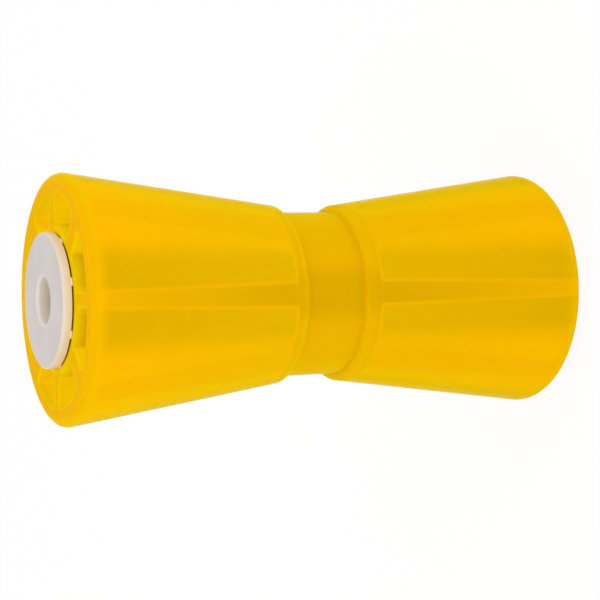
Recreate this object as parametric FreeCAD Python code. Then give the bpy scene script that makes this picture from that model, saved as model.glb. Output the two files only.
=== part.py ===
import FreeCAD, Part
import math
import os

# Boat trailer keel roller, standing on one end, in millimetres.
# +Z is the roller's axis. The origin is the centre of the lower flange's outer face.
# The roller is one translucent moulding with a waist for the keel, cored out from both ends
# between a hub and eight webs, and a flanged bushing pressed into each end of its hub.

# Overall
overall_length = 203.2  # over both flanges, nominal 8 in
flange_thickness = 3.3
seat_gap = 0.6  # between a flange and the body's end face, held open by the flange's teeth

# Outside of the body
end_radius = 46.1  # where the cone would meet the end face, before the rim is rounded
rim_round = 3.3
waist_radius = 31.1
waist_width = 23.4  # flat width of the waist between its two shoulders
shoulder_round = 2.9  # each shoulder rises from the waist as one arc that runs into the cone

# Cored pockets, the same at both ends
web_count = 8
main_web = 5.6  # thickness at the mouth of the webs on the X and Y axes
diagonal_web = 8.4  # thickness at the mouth of the webs between them
web_draft = 1.2  # degrees on each side
core_half = 17.2  # solid middle of the body, from its centre to a pocket's floor
wall_at_mouth = 7.6  # outer wall measured along the radius
wall_at_floor = 3.5
pocket_width_at_mouth = 11.8  # from the hub to the outer wall, along the radius
pocket_width_at_floor = 3.6
pocket_corner_chamfer = 0.8  # along a pocket's four corners, from its floor to its mouth
mouth_overrun = 2.0  # how far a pocket's cutter reaches past the end face

# Flanged bushings, two alike
shaft_bore = 8.3  # radius, for a 5/8 in shaft with running room
bore_mouth_chamfer = 1.2
bushing_wall = 4.7
barrel_length = 30.0  # from the flange's inner face
barrel_chamfer = 1.5
flange_radius = 24.4
flange_edge_chamfer = 0.6
tooth_count = 8
tooth_width = 3.0
tooth_length = 7.0  # inwards from the flange's rim
tooth_turn = 15.5  # degrees from +X to the first tooth

# Fits
barrel_clearance = 0.05  # around a barrel in its counterbore
barrel_end_room = 1.0  # past a barrel's end in its counterbore
hole_relief = 0.2  # the body's own hole is this much wider than the shaft bore

# Worked out from the sizes above
half_length = overall_length / 2
flange_inner = half_length - flange_thickness
body_half = flange_inner - seat_gap
waist_half = waist_width / 2
barrel_radius = shaft_bore + bushing_wall
counterbore_radius = barrel_radius + barrel_clearance
counterbore_floor = flange_inner - barrel_length - barrel_end_room
hole_radius = shaft_bore + hole_relief
web_step = 360.0 / web_count
centre_height = half_length


def at(radius, height):
    """A point of a section in the XZ plane."""
    return FreeCAD.Vector(radius, 0, height)


def line(start, end):
    return Part.LineSegment(start, end).toShape()


def arc(start, middle, end):
    return Part.Arc(start, middle, end).toShape()


def rounded_corner(before, corner, after, radius):
    """Start, middle and end of the arc that rounds a corner between two straight runs."""
    back = (before - corner).normalize()
    on = (after - corner).normalize()
    half_angle = back.getAngle(on) / 2
    reach = radius / math.tan(half_angle)
    bisector = (back + on).normalize()
    centre = corner + bisector * (radius / math.sin(half_angle))
    return corner + back * reach, centre - bisector * radius, corner + on * reach


def revolved(edges):
    """The solid that a closed section makes when it is turned once round Z."""
    face = Part.Face(Part.Wire(edges))
    return face.revolve(FreeCAD.Vector(0, 0, 0), FreeCAD.Vector(0, 0, 1), 360)


def shoulder():
    """Start, middle and end of the shoulder's arc, above the roller's centre.

    It leaves the waist square to it and ends where the cone, which also passes through
    the corner of the end face, is tangent to it.
    """
    centre = at(waist_radius, waist_half + shoulder_round)
    to_end = at(end_radius, body_half) - centre
    direction = math.atan2(to_end.z, to_end.x)
    tangent = direction - math.acos(shoulder_round / to_end.Length)
    half_way = (tangent - math.pi / 2) / 2
    start = at(waist_radius, waist_half)
    middle = centre + at(math.cos(half_way), math.sin(half_way)) * shoulder_round
    end = centre + at(math.cos(tangent), math.sin(tangent)) * shoulder_round
    return start, middle, end


def cone_radius(height):
    """Outer radius of the cone at a height above the roller's centre."""
    small_end = shoulder()[2]
    slope = (end_radius - small_end.x) / (body_half - small_end.z)
    return end_radius + slope * (height - body_half)


def body_blank():
    """The body before its pockets: one half of the outline, turned and mirrored."""
    waist = at(waist_radius, 0)
    rise, rise_middle, cone_start = shoulder()
    corner = at(end_radius, body_half)
    seat = at(counterbore_radius, body_half)
    rim = rounded_corner(cone_start, corner, seat, rim_round)
    ledge = at(counterbore_radius, counterbore_floor)
    step = at(hole_radius, counterbore_floor)
    hole = at(hole_radius, 0)
    upper = revolved(
        [
            line(waist, rise),
            arc(rise, rise_middle, cone_start),
            line(cone_start, rim[0]),
            arc(*rim),
            line(rim[2], seat),
            line(seat, ledge),
            line(ledge, step),
            line(step, hole),
            line(hole, waist),
        ]
    )
    return upper.fuse(flipped(upper)).removeSplitter()


def flipped(shape):
    """The same shape at the other end of the roller, while its centre is at the origin."""
    return shape.mirror(FreeCAD.Vector(0, 0, 0), FreeCAD.Vector(0, 0, 1))


def turned(shape, angle):
    copy = shape.copy()
    copy.rotate(FreeCAD.Vector(0, 0, 0), FreeCAD.Vector(0, 0, 1), angle)
    return copy


def web(thickness):
    """A radial web as a cutter along +X: thinnest at the mouth, with draft on both sides."""
    top = body_half + mouth_overrun
    draft = math.tan(math.radians(web_draft))
    half_top = thickness / 2 - mouth_overrun * draft
    half_floor = thickness / 2 + (body_half - core_half) * draft
    section = Part.makePolygon(
        [
            FreeCAD.Vector(0, -half_top, top),
            FreeCAD.Vector(0, half_top, top),
            FreeCAD.Vector(0, half_floor, core_half),
            FreeCAD.Vector(0, -half_floor, core_half),
            FreeCAD.Vector(0, -half_top, top),
        ]
    )
    return Part.Face(section).extrude(FreeCAD.Vector(end_radius, 0, 0))


def rises(edge):
    """True for an edge that runs from a pocket's floor to its top."""
    return edge.BoundBox.ZLength > (body_half - core_half) / 2


def pocket():
    """One cored pocket, between the web on +X and the diagonal web beside it.

    It is what two webs leave of a turned groove, with its corners chamfered.
    """
    mouth_outer = cone_radius(body_half) - wall_at_mouth
    floor_outer = cone_radius(core_half) - wall_at_floor
    mouth_inner = mouth_outer - pocket_width_at_mouth
    floor_inner = floor_outer - pocket_width_at_floor
    past_mouth = mouth_overrun / (body_half - core_half)
    top = body_half + mouth_overrun
    section = Part.makePolygon(
        [
            at(floor_inner, core_half),
            at(floor_outer, core_half),
            at(mouth_outer + (mouth_outer - floor_outer) * past_mouth, top),
            at(mouth_inner + (mouth_inner - floor_inner) * past_mouth, top),
            at(floor_inner, core_half),
        ]
    )
    axis = FreeCAD.Vector(0, 0, 1)
    groove = Part.Face(section).revolve(FreeCAD.Vector(0, 0, 0), axis, web_step)
    between = groove.cut([web(main_web), turned(web(diagonal_web), web_step)])
    corners = [edge for edge in between.Edges if rises(edge)]
    return between.makeChamfer(pocket_corner_chamfer, corners)


def pockets():
    """All pockets of the upper end: the first one and its mirror image, repeated round Z."""
    first = pocket()
    mirrored = first.mirror(FreeCAD.Vector(0, 0, 0), FreeCAD.Vector(0, 1, 0))
    return [turned(shape, 2 * web_step * k) for k in range(web_count // 2) for shape in (first, mirrored)]


def roller_body():
    upper_pockets = pockets()
    lower_pockets = [flipped(shape) for shape in upper_pockets]
    return body_blank().cut(upper_pockets + lower_pockets)


def tooth():
    """A tooth under the flange, on +X, that stands on the body's end face."""
    length = tooth_length + flange_edge_chamfer
    low_corner = FreeCAD.Vector(flange_radius - tooth_length, -tooth_width / 2, body_half)
    block = Part.makeBox(length, tooth_width, seat_gap, low_corner)
    rim = Part.makeCylinder(flange_radius, overall_length)
    return block.common(rim)


def upper_bushing():
    """Flange, barrel and bore turned in one piece, with the teeth under the flange."""
    barrel_end = flange_inner - barrel_length
    section = Part.makePolygon(
        [
            at(shaft_bore, barrel_end),
            at(shaft_bore, half_length - bore_mouth_chamfer),
            at(shaft_bore + bore_mouth_chamfer, half_length),
            at(flange_radius - flange_edge_chamfer, half_length),
            at(flange_radius, half_length - flange_edge_chamfer),
            at(flange_radius, flange_inner),
            at(barrel_radius, flange_inner),
            at(barrel_radius, barrel_end + barrel_chamfer),
            at(barrel_radius - barrel_chamfer, barrel_end),
            at(shaft_bore, barrel_end),
        ]
    )
    turning = revolved(section.Edges)
    tooth_step = 360.0 / tooth_count
    teeth = [turned(tooth(), tooth_turn + tooth_step * k) for k in range(tooth_count)]
    return turning.fuse(teeth).removeSplitter()


def stood_on_end(shape):
    """Lifts a shape from the roller's centre to its place above the lower flange."""
    copy = shape.copy()
    copy.translate(FreeCAD.Vector(0, 0, centre_height))
    return copy


def main():
    bushing = upper_bushing()
    pieces = {
        "roller_body": roller_body(),
        "upper_bushing": bushing,
        "lower_bushing": flipped(bushing),
    }
    os.makedirs("parts", exist_ok=True)
    for name, shape in pieces.items():
        solid = stood_on_end(shape)
        solid.exportStep(f"parts/{name}.step")
        print(name, "solids", len(solid.Solids), "valid", solid.isValid(), "volume", round(solid.Volume))


main()
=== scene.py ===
import math
from types import SimpleNamespace

import bmesh
import bpy
from mathutils import Matrix, Vector


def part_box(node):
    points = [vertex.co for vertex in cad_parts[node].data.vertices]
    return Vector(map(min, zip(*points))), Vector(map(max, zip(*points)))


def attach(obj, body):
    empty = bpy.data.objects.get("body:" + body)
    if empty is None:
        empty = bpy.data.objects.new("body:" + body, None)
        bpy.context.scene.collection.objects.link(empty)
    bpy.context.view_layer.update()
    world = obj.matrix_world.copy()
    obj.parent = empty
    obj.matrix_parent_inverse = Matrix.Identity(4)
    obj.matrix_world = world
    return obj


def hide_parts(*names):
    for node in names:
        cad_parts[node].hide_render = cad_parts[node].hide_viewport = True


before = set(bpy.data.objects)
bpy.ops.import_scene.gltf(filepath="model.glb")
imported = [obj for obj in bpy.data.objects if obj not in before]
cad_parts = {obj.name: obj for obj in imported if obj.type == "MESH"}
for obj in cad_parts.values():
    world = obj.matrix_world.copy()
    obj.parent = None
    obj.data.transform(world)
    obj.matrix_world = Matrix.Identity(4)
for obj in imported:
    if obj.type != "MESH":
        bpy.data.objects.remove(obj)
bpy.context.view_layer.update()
mm = 0.001
closeEnough = 0.001 * mm  # points this close count as one

print("boat trailer roller: frame loaded")


# Places that the frame gives

bodyLow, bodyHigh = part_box("roller_body")
topLow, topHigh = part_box("upper_bushing")
centreZ = (bodyLow.z + bodyHigh.z) / 2
bodyHalf = (bodyHigh.z - bodyLow.z) / 2  # from the roller's middle to the body's end face
flangeHalf = topHigh.z - centreZ  # from the roller's middle to a flange's outer face
barrelHalf = topLow.z - centreZ  # from the roller's middle to a barrel's inner end
flangeRadius = (topHigh.x - topLow.x) / 2


# Small helpers for meshes and nodes


def placeObject(name, data):
    obj = bpy.data.objects.new(name, data)
    bpy.context.scene.collection.objects.link(obj)
    return obj


def makeMesh(name, bm):
    mesh = bpy.data.meshes.new(name)
    bm.to_mesh(mesh)
    bm.free()
    return mesh


def makeObject(name, bm, material):
    obj = placeObject(name, makeMesh(name, bm))
    obj.data.materials.append(material)
    return obj


def outwardObject(name, bm, material):
    bmesh.ops.recalc_face_normals(bm, faces=bm.faces)
    return makeObject(name, bm, material)


def fromMesh(*meshes):
    bm = bmesh.new()
    for mesh in meshes:
        bm.from_mesh(mesh)
    return bm


def turnOver(mesh):
    # mirrors a mesh to the roller's other end, while the roller's middle is at the origin
    mesh.transform(Matrix.Scale(-1, 4, (0, 0, 1)))
    mesh.flip_normals()


def smoothWithEdges(obj, degrees):
    # smooth shading, except along edges that turn by more than this
    mesh = obj.data
    mesh.polygons.foreach_set("use_smooth", [True] * len(mesh.polygons))
    mesh.set_sharp_from_angle(angle=math.radians(degrees))


def dropObject(obj):
    mesh = obj.data
    bpy.data.objects.remove(obj)
    bpy.data.meshes.remove(mesh)


def newTree(name, inputs):
    tree = bpy.data.node_groups.new(name, "GeometryNodeTree")
    tree.interface.new_socket("Geometry", in_out="INPUT", socket_type="NodeSocketGeometry")
    for label, kind in inputs:
        tree.interface.new_socket(label, in_out="INPUT", socket_type=kind)
    tree.interface.new_socket("Geometry", in_out="OUTPUT", socket_type="NodeSocketGeometry")
    return tree


def addNode(tree, kind, links=(), **settings):
    # links are pairs: an input, by name or number, and the socket or value that it takes
    node = tree.nodes.new(kind)
    for key, value in settings.items():
        setattr(node, key, value)
    for socket, source in links:
        if isinstance(source, bpy.types.NodeSocket):
            tree.links.new(source, node.inputs[socket])
        else:
            node.inputs[socket].default_value = source
    return node


def calc(tree, operation, *values):
    return addNode(tree, "ShaderNodeMath", enumerate(values), operation=operation).outputs[0]


def endTree(tree, geometry, material):
    real = addNode(tree, "GeometryNodeRealizeInstances", [("Geometry", geometry)])
    links = [("Geometry", real.outputs[0]), ("Material", material)]
    paint = addNode(tree, "GeometryNodeSetMaterial", links)
    addNode(tree, "NodeGroupOutput", [("Geometry", paint.outputs[0])])


def runTree(name, source, tree, values):
    # runs a node tree on a mesh and gives the result as a plain mesh
    obj = placeObject(name, source)
    modifier = obj.modifiers.new(name, "NODES")
    modifier.node_group = tree
    for item in tree.interface.items_tree:
        if item.in_out == "INPUT" and item.name in values:
            modifier[item.identifier] = values[item.name]
    depsgraph = bpy.context.evaluated_depsgraph_get()
    result = bpy.data.meshes.new_from_object(obj.evaluated_get(depsgraph))
    obj.modifiers.clear()
    bpy.data.objects.remove(obj)
    return result


# Geometry Nodes: a turned form and a ring of copies


def latheTree():
    # turns a section, whose points lie in order in the XZ plane, once round Z
    inputs = [
        ("Segments", "NodeSocketInt"),
        ("Points", "NodeSocketInt"),
        ("Material", "NodeSocketMaterial"),
    ]
    tree = newTree("turnedForm", inputs)
    given = addNode(tree, "NodeGroupInput")
    segments, points = given.outputs["Segments"], given.outputs["Points"]
    sizes = [("Vertices X", calc(tree, "ADD", segments, 1.0)), ("Vertices Y", points)]
    grid = addNode(tree, "GeometryNodeMeshGrid", sizes)
    index = addNode(tree, "GeometryNodeInputIndex").outputs[0]
    column = calc(tree, "FLOOR", calc(tree, "DIVIDE", index, points))
    row = calc(tree, "SUBTRACT", index, calc(tree, "MULTIPLY", column, points))
    place = addNode(tree, "GeometryNodeInputPosition")
    links = [("Geometry", given.outputs["Geometry"]), ("Value", place.outputs[0]), ("Index", row)]
    kind = dict(data_type="FLOAT_VECTOR", domain="POINT")
    onSection = addNode(tree, "GeometryNodeSampleIndex", links, **kind)
    angle = calc(tree, "MULTIPLY", calc(tree, "DIVIDE", column, segments), 2 * math.pi)
    links = [("Vector", onSection.outputs["Value"]), ("Angle", angle)]
    rotate = addNode(tree, "ShaderNodeVectorRotate", links, rotation_type="Z_AXIS")
    links = [("Geometry", grid.outputs["Mesh"]), ("Position", rotate.outputs[0])]
    shape = addNode(tree, "GeometryNodeSetPosition", links)
    links = [("Geometry", shape.outputs[0]), ("Distance", closeEnough)]
    seam = addNode(tree, "GeometryNodeMergeByDistance", links)
    endTree(tree, seam.outputs[0], given.outputs["Material"])
    return tree


def ringTree():
    # repeats what it is given round Z, evenly, from a first angle in degrees
    inputs = [
        ("Count", "NodeSocketInt"),
        ("First angle", "NodeSocketFloat"),
        ("Material", "NodeSocketMaterial"),
    ]
    tree = newTree("ringOfCopies", inputs)
    given = addNode(tree, "NodeGroupInput")
    points = addNode(tree, "GeometryNodePoints", [("Count", given.outputs["Count"])])
    index = addNode(tree, "GeometryNodeInputIndex").outputs[0]
    step = calc(tree, "DIVIDE", 360.0, given.outputs["Count"])
    degrees = calc(tree, "ADD", calc(tree, "MULTIPLY", index, step), given.outputs["First angle"])
    angles = addNode(tree, "ShaderNodeCombineXYZ", [("Z", calc(tree, "RADIANS", degrees))])
    turn = addNode(tree, "FunctionNodeEulerToRotation", [(0, angles.outputs[0])])
    links = [
        ("Points", points.outputs[0]),
        ("Instance", given.outputs["Geometry"]),
        ("Rotation", turn.outputs[0]),
    ]
    copies = addNode(tree, "GeometryNodeInstanceOnPoints", links)
    endTree(tree, copies.outputs[0], given.outputs["Material"])
    return tree


turnedForm = latheTree()
ringOfCopies = ringTree()


def sectionMesh(points):
    mesh = bpy.data.meshes.new("section")
    edges = [(k, k + 1) for k in range(len(points) - 1)]
    mesh.from_pydata([(x, 0, z) for x, z in points], edges, [])
    return mesh


def turned(points, segments, material):
    section = sectionMesh(points)
    values = {"Segments": segments, "Points": len(points), "Material": material}
    result = runTree("turning", section, turnedForm, values)
    bpy.data.meshes.remove(section)
    return result


def arcPoints(centre, radius, fromDegrees, toDegrees, steps):
    points = []
    for k in range(steps + 1):
        angle = math.radians(fromDegrees + (toDegrees - fromDegrees) * k / steps)
        points.append((centre[0] + radius * math.cos(angle), centre[1] + radius * math.sin(angle)))
    return points


def straight(start, end, steps):
    # points from start to end, with both ends
    return [tuple(a + (b - a) * k / steps for a, b in zip(start, end)) for k in range(steps + 1)]


# Sizes of the pieces, which their materials follow too

bodyShape = dict(
    endRadius=46.1 * mm,  # where the cone would meet the end face
    rimRound=3.3 * mm,
    waistRadius=31.1 * mm,
    waistHalf=11.7 * mm,
    shoulderRound=2.9 * mm,
    footRound=0.8 * mm,  # in the corner between the waist and a shoulder
    holeRadius=8.5 * mm,
    counterboreRadius=13.05 * mm,
    counterboreFloor=67.3 * mm,  # from the roller's middle
    webCount=8,
    segments=192,
    waistSteps=4,
    footSteps=5,
    shoulderSteps=8,
    coneSteps=24,
    rimSteps=10,
    holeSteps=8,
    ledgeSteps=2,
    seatSteps=4,
    sharpFrom=35.0,  # degrees
)

pocketShape = dict(
    floorHeight=17.2 * mm,  # from the roller's middle
    mainWeb=5.6 * mm,
    diagonalWeb=8.4 * mm,
    draft=1.2,  # degrees
    wallAtMouth=7.6 * mm,
    wallAtFloor=3.5 * mm,
    widthAtMouth=11.8 * mm,
    widthAtFloor=3.6 * mm,
    corner=1.2 * mm,
    floorRound=0.7 * mm,
    mouthRound=0.9 * mm,
    levels=14,
    roundSteps=4,
    cornerSteps=5,
    wallSteps=14,
    webSteps=5,
)

bushingShape = dict(
    boreRadius=8.3 * mm,
    boreMouth=1.2 * mm,
    barrelRadius=13.0 * mm,
    barrelChamfer=1.5 * mm,
    flangeThickness=3.3 * mm,
    flangeEdge=0.7 * mm,
    neckRound=0.4 * mm,
    toothCount=8,
    toothWidth=3.0 * mm,
    toothLength=7.0 * mm,
    toothRound=0.25 * mm,
    toothTurn=15.5,  # degrees from +X
    segments=160,
    boreSteps=4,
    mouthSteps=6,
    faceSteps=4,
    edgeSteps=5,
    neckSteps=3,
    toothSteps=3,
    toothProfile=0.5,  # a quarter circle
    sharpFrom=40.0,  # degrees
)


def coneLine(spec):
    # the shoulder's centre, the angle and the point where its arc meets the cone, the cone's slope
    centre = Vector((spec["waistRadius"], spec["waistHalf"] + spec["shoulderRound"]))
    toEnd = Vector((spec["endRadius"], bodyHalf)) - centre
    tangent = math.atan2(toEnd.y, toEnd.x) - math.acos(spec["shoulderRound"] / toEnd.length)
    start = centre + Vector((math.cos(tangent), math.sin(tangent))) * spec["shoulderRound"]
    slope = (spec["endRadius"] - start.x) / (bodyHalf - start.y)
    return centre, math.degrees(tangent), start, slope


# Materials


def emptyTree(owner):
    owner.use_nodes = True
    owner.node_tree.nodes.clear()
    return owner.node_tree


def newMaterial(name):
    material = bpy.data.materials.new(name)
    tree = emptyTree(material)
    shader = tree.nodes.new("ShaderNodeBsdfPrincipled")
    addNode(tree, "ShaderNodeOutputMaterial", [("Surface", shader.outputs[0])])
    return material, tree, shader


def opaque(colour):
    return (*colour, 1.0)


def objectNoise(tree, scale, detail, stretch=(1.0, 1.0, 1.0)):
    place = addNode(tree, "ShaderNodeTexCoord").outputs["Object"]
    stretched = addNode(tree, "ShaderNodeMapping", [("Vector", place), ("Scale", stretch)])
    links = [("Vector", stretched.outputs[0]), ("Scale", scale), ("Detail", detail)]
    return addNode(tree, "ShaderNodeTexNoise", links).outputs["Fac"]


def colourFrom(tree, value, stops):
    ramp = addNode(tree, "ShaderNodeValToRGB", [("Fac", value)])
    for element, (position, colour) in zip(ramp.color_ramp.elements, stops):
        element.position = position
        element.color = opaque(colour)
    return ramp.outputs["Color"]


def levelFrom(tree, value, low, high):
    links = [("Value", value), ("To Min", low), ("To Max", high)]
    return addNode(tree, "ShaderNodeMapRange", links).outputs[0]


def addBump(tree, shader, height, distance):
    bump = addNode(tree, "ShaderNodeBump", [("Height", height), ("Distance", distance)])
    tree.links.new(bump.outputs[0], shader.inputs["Normal"])


def smoothRise(tree, value, middle, width):
    # 0 below middle, 1 above it, over a width
    low = calc(tree, "SUBTRACT", middle, width / 2)
    high = calc(tree, "ADD", middle, width / 2)
    links = [("Value", value), ("From Min", low), ("From Max", high)]
    node = addNode(tree, "ShaderNodeMapRange", links, interpolation_type="SMOOTHSTEP")
    return node.outputs[0]


def opposite(tree, share):
    return calc(tree, "SUBTRACT", 1.0, share)


def ridge(tree, value, middle, width):
    # 1 where value is at middle, falling to 0 over a width on both sides
    away = calc(tree, "ABSOLUTE", calc(tree, "SUBTRACT", value, middle))
    return opposite(tree, smoothRise(tree, away, width / 2, width))


def product(tree, first, *others):
    for other in others:
        first = calc(tree, "MULTIPLY", first, other)
    return first


def mixColours(tree, share, first, second):
    # the node's sockets 6 and 7 are its two colours, and output 2 is the mixed one
    links = [("Factor", share), (6, first), (7, second)]
    return addNode(tree, "ShaderNodeMix", links, data_type="RGBA").outputs[2]


def withLayers(tree, colour, layers, spec):
    # each layer is a share, from 0 to 1 over the surface, and the name of the colour it brings in
    for share, name in layers:
        colour = mixColours(tree, share, colour, opaque(spec[name]))
    return colour


def objectPlace(tree):
    # x, y, the height above or below the roller's middle, and the radius
    place = addNode(tree, "ShaderNodeTexCoord").outputs["Object"]
    x, y, z = addNode(tree, "ShaderNodeSeparateXYZ", [(0, place)]).outputs
    height = calc(tree, "ABSOLUTE", calc(tree, "SUBTRACT", z, centreZ))
    squares = calc(tree, "ADD", calc(tree, "MULTIPLY", x, x), calc(tree, "MULTIPLY", y, y))
    return x, y, height, calc(tree, "SQRT", squares)


# Roller body's rubber. Light goes deep into it, so its colour at a point is painted with the light
# and shade that come through from what lies behind.

bodyFinish = dict(
    # painted light and shade on the outside, from the webs, pockets, hole and floors that show
    # through
    brightColour=(0.90, 0.480, 0.0006),  # between the webs, near a diagonal one
    diagonalColour=(0.87, 0.455, 0.0006),  # over a diagonal web
    hollowColour=(0.67, 0.425, 0.0005),  # over a pocket, near its mouth and near its floor
    deepHollowColour=(0.77, 0.445, 0.0005),
    webColour=(0.78, 0.455, 0.0005),  # over a main web, near its mouth and near its floor
    deepWebColour=(0.69, 0.400, 0.0005),
    coreColour=(0.79, 0.440, 0.0004),  # over the solid middle
    holeShadeColour=(0.69, 0.400, 0.0004),  # painted shade over the solid middle, in front of its hole
    lineHighlightColour=(0.85, 0.470, 0.0010),  # painted highlight along a web's edges and a pocket's floor
    rimColour=(0.80, 0.460, 0.0006),  # round the rims
    footLightColour=(0.82, 0.500, 0.0005),  # painted light at the foot of a shoulder, lifting the shade in the corner there
    edgeBlur=1.6 * mm,
    diagonalFrom=0.25,  # how far from a diagonal web the bright colour goes, as a sine
    diagonalTo=0.52,
    lineWidth=1.1 * mm,
    fadedLines=0.3,  # what is left of the webs' lines at the mouth
    holeBlur=9.0 * mm,
    rimBand=7.0 * mm,
    footWidth=1.3 * mm,
    # painted light and shade on the end faces and in the pockets
    faceColour=(0.955, 0.452, 0.0004),  # on the end faces
    shadedColour=(0.34, 0.150, 0.0010),  # on them, under a flange
    hubColour=(0.95, 0.640, 0.0015),  # in the pockets, on the hub
    insideColour=(0.990, 0.715, 0.0020),  # on the outer wall and the main webs
    besideColour=(0.950, 0.650, 0.0015),  # on the diagonal webs
    lipColour=(0.900, 0.560, 0.0010),  # close to the mouths
    faceDepth=0.9 * mm,
    shadeInset=0.15 * mm,
    insideFrom=0.6 * mm,
    wallMargin=0.8 * mm,
    sideMargin=0.9 * mm,
    lipDepth=1.8 * mm,
    # painted light: emission that stands in for light coming through the rubber
    glowStrength=0.10,
    insideGlow=(1.0, 0.88, 0.0),  # in the pockets
    lipGlow=0.4,  # its level at a mouth, then a little way in; near the floor it is 1
    nearGlow=1.7,
    glowRise=7.0 * mm,
    glowFall=20.0 * mm,
    cornerGlow=0.9,  # painted light added in a pocket's corners, which face more of the rubber, lifting the shade there
    cornerPlace=0.8 * mm,
    cornerWidth=2.0 * mm,
    cornerReach=1.5 * mm,
    faceGlow=(0.7, 0.22, 0.0),  # on the end faces
    flangeGlow=1.5,  # painted light added to its level close to a flange, lifting the shade beside it
    flangeTint=0.6,  # how far its colour goes there towards that of the pockets
    flangeBand=4.0 * mm,
    flatDepth=0.3 * mm,
    # the rubber itself
    cloudScale=22.0,
    cloudDetail=3.0,
    streakScale=300.0,
    streakDetail=2.0,
    streakStretch=(1.0, 1.0, 0.04),  # the melt ran along the mould's axis
    variation=0.035,
    roughLow=0.10,
    roughHigh=0.16,
    ior=1.48,
    specular=0.0011,
    scatterRadius=(1.0, 0.6, 0.03),
    scatterScale=12.0 * mm,
    waveScale=60.0,
    waveDetail=2.0,
    waveHeight=0.02 * mm,
)


def pocketWalls(spec, body):
    # a pocket's outer wall and its hub, as radii at its mouth and at its floor
    mouth = body["endRadius"] - spec["wallAtMouth"]
    narrowing = coneLine(body)[3] * (bodyHalf - spec["floorHeight"])
    floor = body["endRadius"] - narrowing - spec["wallAtFloor"]
    return (mouth, floor), (mouth - spec["widthAtMouth"], floor - spec["widthAtFloor"])


def bodyPlaces(tree, spec):
    # where a point of the body lies, and where the webs and the pockets' walls are at its depth
    at = SimpleNamespace()
    x, y, at.height, at.radius = objectPlace(tree)
    at.depth = calc(tree, "SUBTRACT", bodyHalf, at.height)
    at.deep = calc(tree, "DIVIDE", at.depth, bodyHalf - pocketShape["floorHeight"])
    at.pastFloor = smoothRise(tree, at.height, pocketShape["floorHeight"], spec["edgeBlur"])

    at.fromMain = calc(tree, "MINIMUM", calc(tree, "ABSOLUTE", x), calc(tree, "ABSOLUTE", y))
    oneWay = calc(tree, "ABSOLUTE", calc(tree, "ADD", x, y))
    otherWay = calc(tree, "ABSOLUTE", calc(tree, "SUBTRACT", x, y))
    at.fromDiagonal = product(tree, calc(tree, "MINIMUM", oneWay, otherWay), math.sqrt(0.5))
    widening = product(tree, at.depth, math.tan(math.radians(pocketShape["draft"])))
    at.mainHalf = calc(tree, "ADD", widening, pocketShape["mainWeb"] / 2)
    at.diagonalHalf = calc(tree, "ADD", widening, pocketShape["diagonalWeb"] / 2)

    outer, hub = pocketWalls(pocketShape, bodyShape)
    at.outerWall = levelFrom(tree, at.deep, *outer)
    at.hubWall = levelFrom(tree, at.deep, *hub)
    return at


# painted light and shade seen through the outer wall: shares, with the colours that they bring in
def outsideLightAndShade(tree, spec, at):
    awayFromMouth = smoothRise(tree, at.depth, spec["rimBand"] / 2, spec["rimBand"])
    besideMain = smoothRise(tree, at.fromMain, at.mainHalf, spec["edgeBlur"])
    besideDiagonal = smoothRise(tree, at.fromDiagonal, at.diagonalHalf, spec["edgeBlur"])
    mainWeb = product(tree, opposite(tree, besideMain), awayFromMouth)
    diagonalWeb = product(tree, opposite(tree, besideDiagonal), awayFromMouth)
    first, last = spec["diagonalFrom"], spec["diagonalTo"]
    sine = calc(tree, "DIVIDE", at.fromDiagonal, at.radius)
    farFromDiagonal = smoothRise(tree, sine, (first + last) / 2, last - first)
    hollow = product(tree, besideMain, farFromDiagonal, awayFromMouth)

    core = opposite(tree, at.pastFloor)
    # painted shade where the hole lies behind the waist
    besideHole = smoothRise(tree, at.fromMain, bodyShape["holeRadius"], spec["holeBlur"])
    # painted light at a shoulder's foot, against the shade in its corner
    foot = ridge(tree, at.height, bodyShape["waistHalf"], spec["footWidth"])
    # painted highlights along the webs' edges and the pockets' floors
    mainEdge = ridge(tree, at.fromMain, at.mainHalf, spec["lineWidth"])
    diagonalEdge = ridge(tree, at.fromDiagonal, at.diagonalHalf, spec["lineWidth"])
    webEdge = calc(tree, "MAXIMUM", mainEdge, diagonalEdge)
    fading = levelFrom(tree, at.deep, spec["fadedLines"], 1.0)
    webEdge = product(tree, webEdge, at.pastFloor, awayFromMouth, fading)
    floorEdge = ridge(tree, at.height, pocketShape["floorHeight"], spec["lineWidth"])
    floorEdge = product(tree, floorEdge, besideMain)
    return [
        (opposite(tree, awayFromMouth), "rimColour"),
        (diagonalWeb, "diagonalColour"),
        (hollow, "hollowColour"),
        (product(tree, hollow, at.deep), "deepHollowColour"),
        (mainWeb, "webColour"),
        (product(tree, mainWeb, at.deep), "deepWebColour"),
        (core, "coreColour"),
        (product(tree, core, opposite(tree, besideHole)), "holeShadeColour"),
        (calc(tree, "MAXIMUM", webEdge, floorEdge), "lineHighlightColour"),
        (foot, "footLightColour"),
    ]


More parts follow.
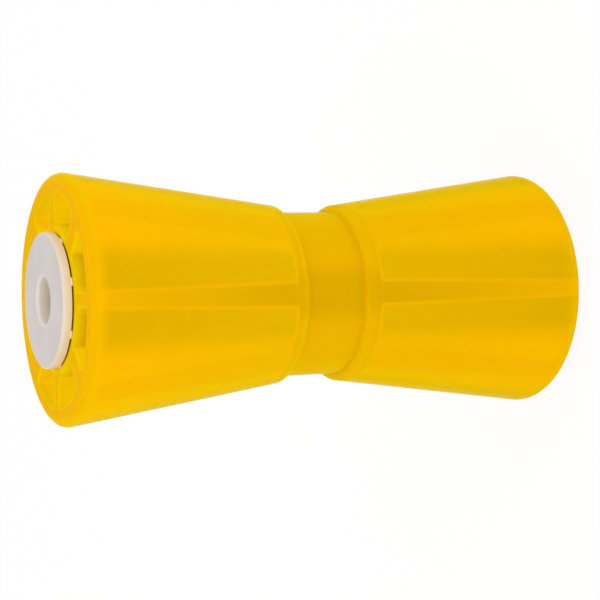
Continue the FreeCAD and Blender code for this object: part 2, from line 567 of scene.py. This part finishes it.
def insideLightAndShade(tree, spec, at):
    # painted light and shade of the end faces and the pockets, then the shares of the pockets and
    # of their lit walls
    wallReach = calc(tree, "ADD", at.outerWall, spec["wallMargin"])
    hubReach = calc(tree, "ADD", at.hubWall, spec["wallMargin"])
    behindWall = calc(tree, "LESS_THAN", at.radius, wallReach)
    onHub = calc(tree, "LESS_THAN", at.radius, hubReach)
    onFace = opposite(tree, smoothRise(tree, at.depth, spec["faceDepth"], spec["faceDepth"]))
    pastMouth = smoothRise(tree, at.depth, spec["insideFrom"], 2 * spec["insideFrom"])
    inside = product(tree, behindWall, at.pastFloor, pastMouth)
    lit = product(tree, inside, opposite(tree, onHub))
    sideReach = calc(tree, "ADD", at.diagonalHalf, spec["sideMargin"])
    offSide = smoothRise(tree, at.fromDiagonal, sideReach, spec["sideMargin"])
    pastLip = smoothRise(tree, at.depth, spec["lipDepth"], 2 * spec["lipDepth"])
    inShade = calc(tree, "LESS_THAN", at.radius, flangeRadius - spec["shadeInset"])
    layers = [
        (onFace, "faceColour"),
        (inside, "hubColour"),
        (lit, "insideColour"),
        (product(tree, lit, opposite(tree, offSide)), "besideColour"),
        (product(tree, lit, opposite(tree, pastLip)), "lipColour"),
        (product(tree, onFace, inShade), "shadedColour"),
    ]
    return layers, inside, lit


# painted light: emission on the pockets' walls, most a little way in, and in their corners
def paintedPocketLight(tree, spec, at, inside, lit):
    further = smoothRise(tree, at.depth, spec["glowRise"] / 2, spec["glowRise"])
    farIn = smoothRise(tree, at.depth, spec["glowFall"], spec["glowFall"])
    risen = levelFrom(tree, further, spec["lipGlow"], spec["nearGlow"])
    fallen = product(tree, farIn, spec["nearGlow"] - 1.0)
    onWalls = product(tree, lit, calc(tree, "SUBTRACT", risen, fallen))

    def besideWeb(fromWeb, halfWeb):
        corner = calc(tree, "ADD", halfWeb, spec["cornerPlace"])
        return ridge(tree, fromWeb, corner, spec["cornerWidth"])

    # painted light in the corners by the hub and by the outer wall
    hubReach = calc(tree, "ADD", at.hubWall, spec["cornerReach"])
    wallReach = calc(tree, "SUBTRACT", at.outerWall, spec["cornerReach"])
    nearHub = calc(tree, "LESS_THAN", at.radius, hubReach)
    nearWall = calc(tree, "GREATER_THAN", at.radius, wallReach)
    hubCorner = product(tree, besideWeb(at.fromMain, at.mainHalf), nearHub)
    wallCorner = product(tree, besideWeb(at.fromDiagonal, at.diagonalHalf), nearWall)
    inCorner = product(tree, calc(tree, "MAXIMUM", hubCorner, wallCorner), inside)
    cornerLight = product(tree, inCorner, opposite(tree, farIn), spec["cornerGlow"])
    return calc(tree, "ADD", onWalls, cornerLight)


def paintedFaceLight(tree, spec, at):
    # level of the painted glow on the open part of an end face, and how much of faceGlow its colour
    # has
    onFlat = opposite(tree, smoothRise(tree, at.depth, spec["flatDepth"], spec["flatDepth"]))
    openFace = product(tree, onFlat, calc(tree, "GREATER_THAN", at.radius, flangeRadius))
    # band beside a flange where the painted light is stronger
    band = spec["flangeBand"]
    besideFlange = opposite(tree, smoothRise(tree, at.radius, flangeRadius + band / 2, band))
    level = levelFrom(tree, besideFlange, 1.0, 1.0 + spec["flangeGlow"])
    tint = levelFrom(tree, besideFlange, 1.0, 1.0 - spec["flangeTint"])
    return product(tree, openFace, level), product(tree, openFace, tint)


def bodyRubber(spec):
    material, tree, shader = newMaterial("bodyRubber")
    at = bodyPlaces(tree, spec)
    inner, inside, lit = insideLightAndShade(tree, spec, at)
    layers = outsideLightAndShade(tree, spec, at) + inner
    colour = withLayers(tree, opaque(spec["brightColour"]), layers, spec)
    cloud = objectNoise(tree, spec["cloudScale"], spec["cloudDetail"])
    streak = objectNoise(tree, spec["streakScale"], spec["streakDetail"], spec["streakStretch"])
    uneven = product(tree, calc(tree, "ADD", cloud, streak), 0.5)
    value = levelFrom(tree, uneven, 1.0 - spec["variation"], 1.0 + spec["variation"])
    shade = addNode(tree, "ShaderNodeHueSaturation", [("Color", colour), ("Value", value)])
    rough = levelFrom(tree, cloud, spec["roughLow"], spec["roughHigh"])
    tree.links.new(shade.outputs[0], shader.inputs["Base Color"])
    tree.links.new(rough, shader.inputs["Roughness"])
    shader.inputs["IOR"].default_value = spec["ior"]
    shader.inputs["Specular IOR Level"].default_value = spec["specular"]

    # painted light: emission from the pockets and the end faces
    faceLevel, faceTint = paintedFaceLight(tree, spec, at)
    glow = mixColours(tree, faceTint, opaque(spec["insideGlow"]), opaque(spec["faceGlow"]))
    level = calc(tree, "MAXIMUM", paintedPocketLight(tree, spec, at, inside, lit), faceLevel)
    strength = product(tree, level, spec["glowStrength"])
    tree.links.new(glow, shader.inputs["Emission Color"])
    tree.links.new(strength, shader.inputs["Emission Strength"])
    shader.inputs["Subsurface Weight"].default_value = 1.0
    shader.inputs["Subsurface Radius"].default_value = spec["scatterRadius"]
    shader.inputs["Subsurface Scale"].default_value = spec["scatterScale"]
    wave = objectNoise(tree, spec["waveScale"], spec["waveDetail"])
    addBump(tree, shader, wave, spec["waveHeight"])
    return material


# Bushings' plastic

bushingFinish = dict(
    lowColour=(0.67, 0.60, 0.565),
    highColour=(0.73, 0.655, 0.62),
    cloudLow=0.35,
    cloudHigh=0.65,
    cloudScale=90.0,
    cloudDetail=3.0,
    edgeHighlightColour=(0.78, 0.69, 0.54),  # painted highlight along the rounded edge of the flange's face
    edgeBand=0.7 * mm,
    rimColour=(0.76, 0.71, 0.66),  # painted light on the flange's rim, near its face
    rimBounceColour=(0.71, 0.63, 0.42),  # painted yellow light from the rubber, on the rim near it
    rimBand=0.5 * mm,
    toothColour=(0.92, 0.84, 0.72),
    boreLightColour=(0.86, 0.76, 0.62),  # painted light in the bore, yellowed by the rubber round it
    mouthHighlightColour=(0.80, 0.75, 0.70),  # painted highlight round the bore's mouth
    roughLow=0.32,
    roughHigh=0.45,
    grainScale=2600.0,
    grainDetail=2.0,
    grainHeight=0.006 * mm,
)


def bushingPlastic(spec):
    material, tree, shader = newMaterial("bushingPlastic")
    cloud = objectNoise(tree, spec["cloudScale"], spec["cloudDetail"])
    stops = [(spec["cloudLow"], spec["lowColour"]), (spec["cloudHigh"], spec["highColour"])]
    height, radius = objectPlace(tree)[2:]
    depth = calc(tree, "SUBTRACT", flangeHalf, height)
    # painted light on the flange's rim, yellow from the rubber towards its foot
    belowFace = smoothRise(tree, depth, spec["rimBand"], spec["rimBand"])
    onRim = calc(tree, "GREATER_THAN", radius, flangeRadius - spec["rimBand"])
    rim = product(tree, onRim, belowFace)
    # painted highlight along the flange face's rounded edge
    edge = smoothRise(tree, radius, flangeRadius - spec["edgeBand"], spec["edgeBand"])
    thickness, mouth = bushingShape["flangeThickness"], bushingShape["boreMouth"]
    # painted highlight round the bore's mouth, painted light inside the bore
    bore = calc(tree, "LESS_THAN", radius, bushingShape["boreRadius"] + mouth)
    layers = [
        (edge, "edgeHighlightColour"),
        (rim, "rimColour"),
        (product(tree, rim, calc(tree, "DIVIDE", depth, thickness)), "rimBounceColour"),
        (calc(tree, "GREATER_THAN", depth, thickness), "toothColour"),
        (bore, "mouthHighlightColour"),
        (product(tree, bore, smoothRise(tree, depth, mouth, mouth)), "boreLightColour"),
    ]
    colour = withLayers(tree, colourFrom(tree, cloud, stops), layers, spec)
    rough = levelFrom(tree, cloud, spec["roughLow"], spec["roughHigh"])
    tree.links.new(colour, shader.inputs["Base Color"])
    tree.links.new(rough, shader.inputs["Roughness"])
    grain = objectNoise(tree, spec["grainScale"], spec["grainDetail"])
    addBump(tree, shader, grain, spec["grainHeight"])
    return material


rubber = bodyRubber(bodyFinish)
plastic = bushingPlastic(bushingFinish)
print("materials made")


# Roller body: a turned outside and hole, pocket linings at each end and the end faces between them


def outsideSection(spec):
    # upper half of the outside, from the middle of the waist to the flat of the end face
    centre, tangent, start, slope = coneLine(spec)
    lean = math.atan(slope)
    rim = spec["rimRound"]
    rimCentre = (spec["endRadius"] - slope * rim - rim / math.cos(lean), bodyHalf - rim)
    foot, reach = spec["footRound"], spec["shoulderRound"] + spec["footRound"]
    turn = math.degrees(math.asin(foot / reach))
    footCentre = (spec["waistRadius"] + foot, centre.y - reach * math.cos(math.radians(turn)))
    footArc = arcPoints(footCentre, foot, 180.0, 90.0 + turn, spec["footSteps"])
    steps = spec["shoulderSteps"]
    shoulder = arcPoints(centre, spec["shoulderRound"], turn - 90.0, tangent, steps)
    rimArc = arcPoints(rimCentre, rim, -math.degrees(lean), 90.0, spec["rimSteps"])
    waist = straight((spec["waistRadius"], 0.0), footArc[0], spec["waistSteps"])
    cone = straight(tuple(start), rimArc[0], spec["coneSteps"])
    return waist + footArc[1:] + shoulder[1:] + cone[1:] + rimArc[1:]


def holeSection(spec):
    # upper half of the hole, from the middle to the counterbore's edge on the end face
    narrow, wide = spec["holeRadius"], spec["counterboreRadius"]
    ledge = spec["counterboreFloor"]
    return (
        straight((narrow, 0.0), (narrow, ledge), spec["holeSteps"])
        + straight((narrow, ledge), (wide, ledge), spec["ledgeSteps"])[1:]
        + straight((wide, ledge), (wide, bodyHalf), spec["seatSteps"])[1:]
    )


def bothHalves(points):
    return [(x, -z) for x, z in reversed(points)] + points[1:]


def pocketCorner(radius, halfWeb, corner, side, steps):
    # arc of a pocket's corner from a web on +X to a round wall; side is 1 at the outer wall
    centreY = halfWeb + corner
    centreRadius = radius - side * corner
    centre = Vector((math.sqrt(centreRadius**2 - centreY**2), centreY))
    onWall = math.degrees(math.atan2(centre.y, centre.x))
    if side < 0:
        onWall -= 180.0
    return arcPoints(centre, corner, -90.0, onWall, steps)


def pocketOutline(spec, body, height, grow):
    # points of the pocket beside the web on +X at a height, grown outwards by grow
    depth = bodyHalf - height
    share = depth / (bodyHalf - spec["floorHeight"])
    outer, inner = [mouth + (floor - mouth) * share for mouth, floor in pocketWalls(spec, body)]
    widening = math.tan(math.radians(spec["draft"])) * depth
    corner = spec["corner"] + grow
    step = 2 * math.pi / body["webCount"]

    def beside(web, radius, side):
        halfWeb = web / 2 + widening - grow
        return pocketCorner(radius + side * grow, halfWeb, corner, side, spec["cornerSteps"])

    def across(points):
        # mirrors a corner beside the web on +X to the facing side of the next web
        cosine, sine = math.cos(step), math.sin(step)
        return [(x * cosine + y * sine, x * sine - y * cosine) for x, y in points]

    def wall(start, end):
        first = math.degrees(math.atan2(start[1], start[0]))
        last = math.degrees(math.atan2(end[1], end[0]))
        return arcPoints((0, 0), math.hypot(*start), first, last, spec["wallSteps"])

    mainOut = beside(spec["mainWeb"], outer, 1)
    mainIn = beside(spec["mainWeb"], inner, -1)
    diagonalOut = across(beside(spec["diagonalWeb"], outer, 1))
    diagonalIn = across(beside(spec["diagonalWeb"], inner, -1))
    return (
        straight(mainIn[0], mainOut[0], spec["webSteps"])[:-1]
        + mainOut
        + wall(mainOut[-1], diagonalOut[-1])[1:-1]
        + diagonalOut[::-1]
        + straight(diagonalOut[0], diagonalIn[0], spec["webSteps"])[1:-1]
        + diagonalIn
        + wall(diagonalIn[-1], mainIn[-1])[1:-1]
        + mainIn[::-1][:-1]
    )


def pocketLevels(spec):
    # heights and growth of the outlines, from the rounded floor to the rounded mouth
    levels = []
    steps = spec["roundSteps"]
    low, high = spec["floorHeight"], bodyHalf
    floorRound, mouthRound = spec["floorRound"], spec["mouthRound"]
    quarter = [math.pi / 2 * k / steps for k in range(steps + 1)]
    for angle in quarter:
        rise, growth = 1 - math.cos(angle), math.sin(angle) - 1
        levels.append((low + floorRound * rise, floorRound * growth))
    levels += straight((low + floorRound, 0.0), (high - mouthRound, 0.0), spec["levels"])[1:]
    for angle in quarter[1:]:
        drop, growth = 1 - math.sin(angle), 1 - math.cos(angle)
        levels.append((high - mouthRound * drop, mouthRound * growth))
    return levels


def pocketPair(spec, body):
    # linings of the two pockets beside the web on +X, open at the end face
    bm = bmesh.new()
    for side in (1, -1):
        rings = []
        for height, grow in pocketLevels(spec):
            outline = pocketOutline(spec, body, height, grow)
            rings.append([bm.verts.new((x, side * y, height)) for x, y in outline])
        for lower, upper in zip(rings, rings[1:]):
            for k in range(len(lower)):
                after = (k + 1) % len(lower)
                face = (lower[k], upper[k], upper[after], lower[after])
                bm.faces.new(face if side > 0 else face[::-1])
        floorFace = bm.faces.new(rings[0] if side > 0 else rings[0][::-1])
        bmesh.ops.triangulate(bm, faces=[floorFace])
    return makeMesh("pocketPair", bm)


def fillEndFace(bm, height):
    # fills the flat of an end face between the rim, the hole and the pockets' mouths
    edges = [
        edge
        for edge in bm.edges
        if edge.is_boundary and all(abs(vert.co.z - height) < closeEnough for vert in edge.verts)
    ]
    bmesh.ops.triangle_fill(bm, use_beauty=True, use_dissolve=False, edges=edges)


def rollerBody():
    outside = turned(bothHalves(outsideSection(bodyShape)), bodyShape["segments"], rubber)
    hole = turned(bothHalves(holeSection(bodyShape)), bodyShape["segments"] // 2, rubber)
    pair = pocketPair(pocketShape, bodyShape)
    values = {"Count": bodyShape["webCount"] // 2, "First angle": 0.0, "Material": rubber}
    upper = runTree("pockets", pair, ringOfCopies, values)
    lower = upper.copy()
    turnOver(lower)
    bm = fromMesh(outside, hole, upper, lower)
    for height in (bodyHalf, -bodyHalf):
        fillEndFace(bm, height)
    bmesh.ops.translate(bm, verts=bm.verts, vec=(0, 0, centreZ))
    for face in bm.faces:
        face.material_index = 0
    obj = outwardObject("rollerBody", bm, rubber)
    smoothWithEdges(obj, bodyShape["sharpFrom"])
    for mesh in (outside, hole, pair, upper, lower):
        bpy.data.meshes.remove(mesh)
    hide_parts("roller_body")
    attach(obj, "root")
    return obj


body = rollerBody()
print("roller body made:", len(body.data.polygons), "faces")


# Bushings: a turned flange and barrel with a ring of teeth under the flange


def bushingSection(spec):
    # closed section, from the bore's inner end round to the same point
    back = flangeHalf - spec["flangeThickness"]
    edge, neck = spec["flangeEdge"], spec["neckRound"]
    bore, mouth = spec["boreRadius"], spec["boreMouth"]
    barrel, chamfer = spec["barrelRadius"], spec["barrelChamfer"]
    mouthCentre = (bore + mouth, flangeHalf - mouth)
    edgeCentre = (flangeRadius - edge, flangeHalf - edge)
    faceStart, faceEnd = (bore + mouth, flangeHalf), (flangeRadius - edge, flangeHalf)
    return (
        straight((bore, barrelHalf), (bore, flangeHalf - mouth), spec["boreSteps"])
        + arcPoints(mouthCentre, mouth, 180.0, 90.0, spec["mouthSteps"])[1:]
        + straight(faceStart, faceEnd, spec["faceSteps"])[1:]
        + arcPoints(edgeCentre, edge, 90.0, 0.0, spec["edgeSteps"])[1:]
        + [(flangeRadius, back), (barrel + neck, back)]
        + arcPoints((barrel + neck, back - neck), neck, 90.0, 180.0, spec["neckSteps"])[1:]
        + [(barrel, barrelHalf + chamfer), (barrel - chamfer, barrelHalf), (bore, barrelHalf)]
    )


def toothBlock(spec):
    # one tooth on +X, from inside the flange down to the body's end face
    high = flangeHalf - spec["flangeThickness"] / 2
    outer = flangeRadius
    inner = outer - spec["toothLength"]
    half = spec["toothWidth"] / 2
    bm = bmesh.new()
    corners = [(inner, -half), (outer, -half), (outer, half), (inner, half)]
    lower = [bm.verts.new((x, y, bodyHalf)) for x, y in corners]
    upper = [bm.verts.new((x, y, high)) for x, y in corners]
    bm.faces.new(lower[::-1])
    bm.faces.new(upper)
    for k in range(len(corners)):
        after = (k + 1) % len(corners)
        bm.faces.new((lower[k], lower[after], upper[after], upper[k]))
    rounded = [edge for edge in bm.edges if not all(vert in upper for vert in edge.verts)]
    form = dict(segments=spec["toothSteps"], profile=spec["toothProfile"], affect="EDGES")
    bmesh.ops.bevel(bm, geom=rounded, offset=spec["toothRound"], **form)
    return makeMesh("tooth", bm)


def joinBySolid(obj, other):
    # makes one closed mesh of two
    modifier = obj.modifiers.new("join", "BOOLEAN")
    modifier.operation = "UNION"
    modifier.solver = "EXACT"
    modifier.object = other
    depsgraph = bpy.context.evaluated_depsgraph_get()
    result = bpy.data.meshes.new_from_object(obj.evaluated_get(depsgraph))
    obj.modifiers.clear()
    old = obj.data
    obj.data = result
    bpy.data.meshes.remove(old)


def bushing(name, node, side):
    spec = bushingShape
    turning = turned(bushingSection(spec), spec["segments"], plastic)
    tooth = toothBlock(spec)
    values = {"Count": spec["toothCount"], "First angle": spec["toothTurn"], "Material": plastic}
    teeth = runTree("teeth", tooth, ringOfCopies, values)
    obj = outwardObject(name, fromMesh(turning), plastic)
    ring = outwardObject("teeth", fromMesh(teeth), plastic)
    joinBySolid(obj, ring)
    dropObject(ring)
    if side < 0:
        turnOver(obj.data)
    obj.data.transform(Matrix.Translation((0, 0, centreZ)))
    smoothWithEdges(obj, spec["sharpFrom"])
    for mesh in (turning, tooth, teeth):
        bpy.data.meshes.remove(mesh)
    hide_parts(node)
    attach(obj, "root")
    return obj


upperBushing = bushing("upperBushing", "upper_bushing", 1)
lowerBushing = bushing("lowerBushing", "lower_bushing", -1)
print("bushings made")


# Stage: floor, light and camera

white = (1.0, 1.0, 1.0)

stageLook = dict(
    floorHalf=6.0,
    floorGap=0.02 * mm,  # under the flange, so that the two don't lie in one plane
    floorColour=(0.86, 0.86, 0.86),
    floorShine=0.9,  # how much of the floor the camera sees as plain white
    floorWhite=1.03,
    worldLevel=0.75,  # the world as a light; where it is seen directly it is 1
)


def seenDirectly(tree):
    # 1 for rays from the camera, also where they are mirrored or come through the rubber
    rays = addNode(tree, "ShaderNodeLightPath").outputs
    seen = calc(tree, "MAXIMUM", rays["Is Camera Ray"], rays["Is Glossy Ray"])
    return calc(tree, "MAXIMUM", seen, rays["Is Transmission Ray"])


def buildFloor(spec):
    bm = bmesh.new()
    bmesh.ops.create_grid(bm, x_segments=1, y_segments=1, size=spec["floorHalf"])
    bmesh.ops.translate(bm, verts=bm.verts, vec=(0, 0, -spec["floorGap"]))
    material = bpy.data.materials.new("floorWhite")
    tree = emptyTree(material)
    matt = addNode(tree, "ShaderNodeBsdfDiffuse", [("Color", opaque(spec["floorColour"]))])
    links = [("Color", opaque(white)), ("Strength", spec["floorWhite"])]
    plain = addNode(tree, "ShaderNodeEmission", links)
    amount = product(tree, seenDirectly(tree), spec["floorShine"])
    links = [("Fac", amount), (1, matt.outputs[0]), (2, plain.outputs[0])]
    mix = addNode(tree, "ShaderNodeMixShader", links)
    addNode(tree, "ShaderNodeOutputMaterial", [("Surface", mix.outputs[0])])
    floor = makeObject("floor", bm, material)


def buildWorld(spec):
    world = bpy.data.worlds.new("softLight")
    bpy.context.scene.world = world
    tree = emptyTree(world)
    level = levelFrom(tree, seenDirectly(tree), spec["worldLevel"], 1.0)
    links = [("Color", opaque(white)), ("Strength", level)]
    background = addNode(tree, "ShaderNodeBackground", links)
    addNode(tree, "ShaderNodeOutputWorld", [("Surface", background.outputs[0])])


lampShape = dict(
    oneSide=dict(place=(1.1, -1.1, 0.22), size=1.2, watts=10.2),
    otherSide=dict(place=(-1.1, -1.1, 0.22), size=1.2, watts=10.0),
)


def buildLamp(name, spec, target):
    data = bpy.data.lights.new(name, "AREA")
    data.size = spec["size"]
    data.energy = spec["watts"]
    lamp = placeObject(name, data)
    lamp.location = spec["place"]
    aim = target - Vector(spec["place"])
    lamp.rotation_euler = aim.to_track_quat("-Z", "Y").to_euler()


cameraLook = dict(
    place=(0.00397, -0.55557, 0.36283),
    forward=(-0.010385, 0.905238, -0.424778),
    up=(0.999654, -0.000876, -0.026304),
    lens=96.16,
    sensor=36.0,
    clipStart=0.01,
)


def buildCamera(spec):
    data = bpy.data.cameras.new("camera")
    data.sensor_width = spec["sensor"]
    data.lens = spec["lens"]
    data.clip_start = spec["clipStart"]
    camera = placeObject("camera", data)
    forward = Vector(spec["forward"]).normalized()
    right = forward.cross(Vector(spec["up"])).normalized()
    up = right.cross(forward)
    turn = Matrix((right, up, -forward)).transposed().to_4x4()
    camera.matrix_world = Matrix.Translation(spec["place"]) @ turn
    bpy.context.scene.camera = camera


buildFloor(stageLook)
buildWorld(stageLook)
middle = Vector((0, 0, centreZ))
for lampName, lampSpec in lampShape.items():
    buildLamp(lampName, lampSpec, middle)
buildCamera(cameraLook)
bpy.context.scene.view_settings.view_transform = "Standard"
print("stage, light and camera set")
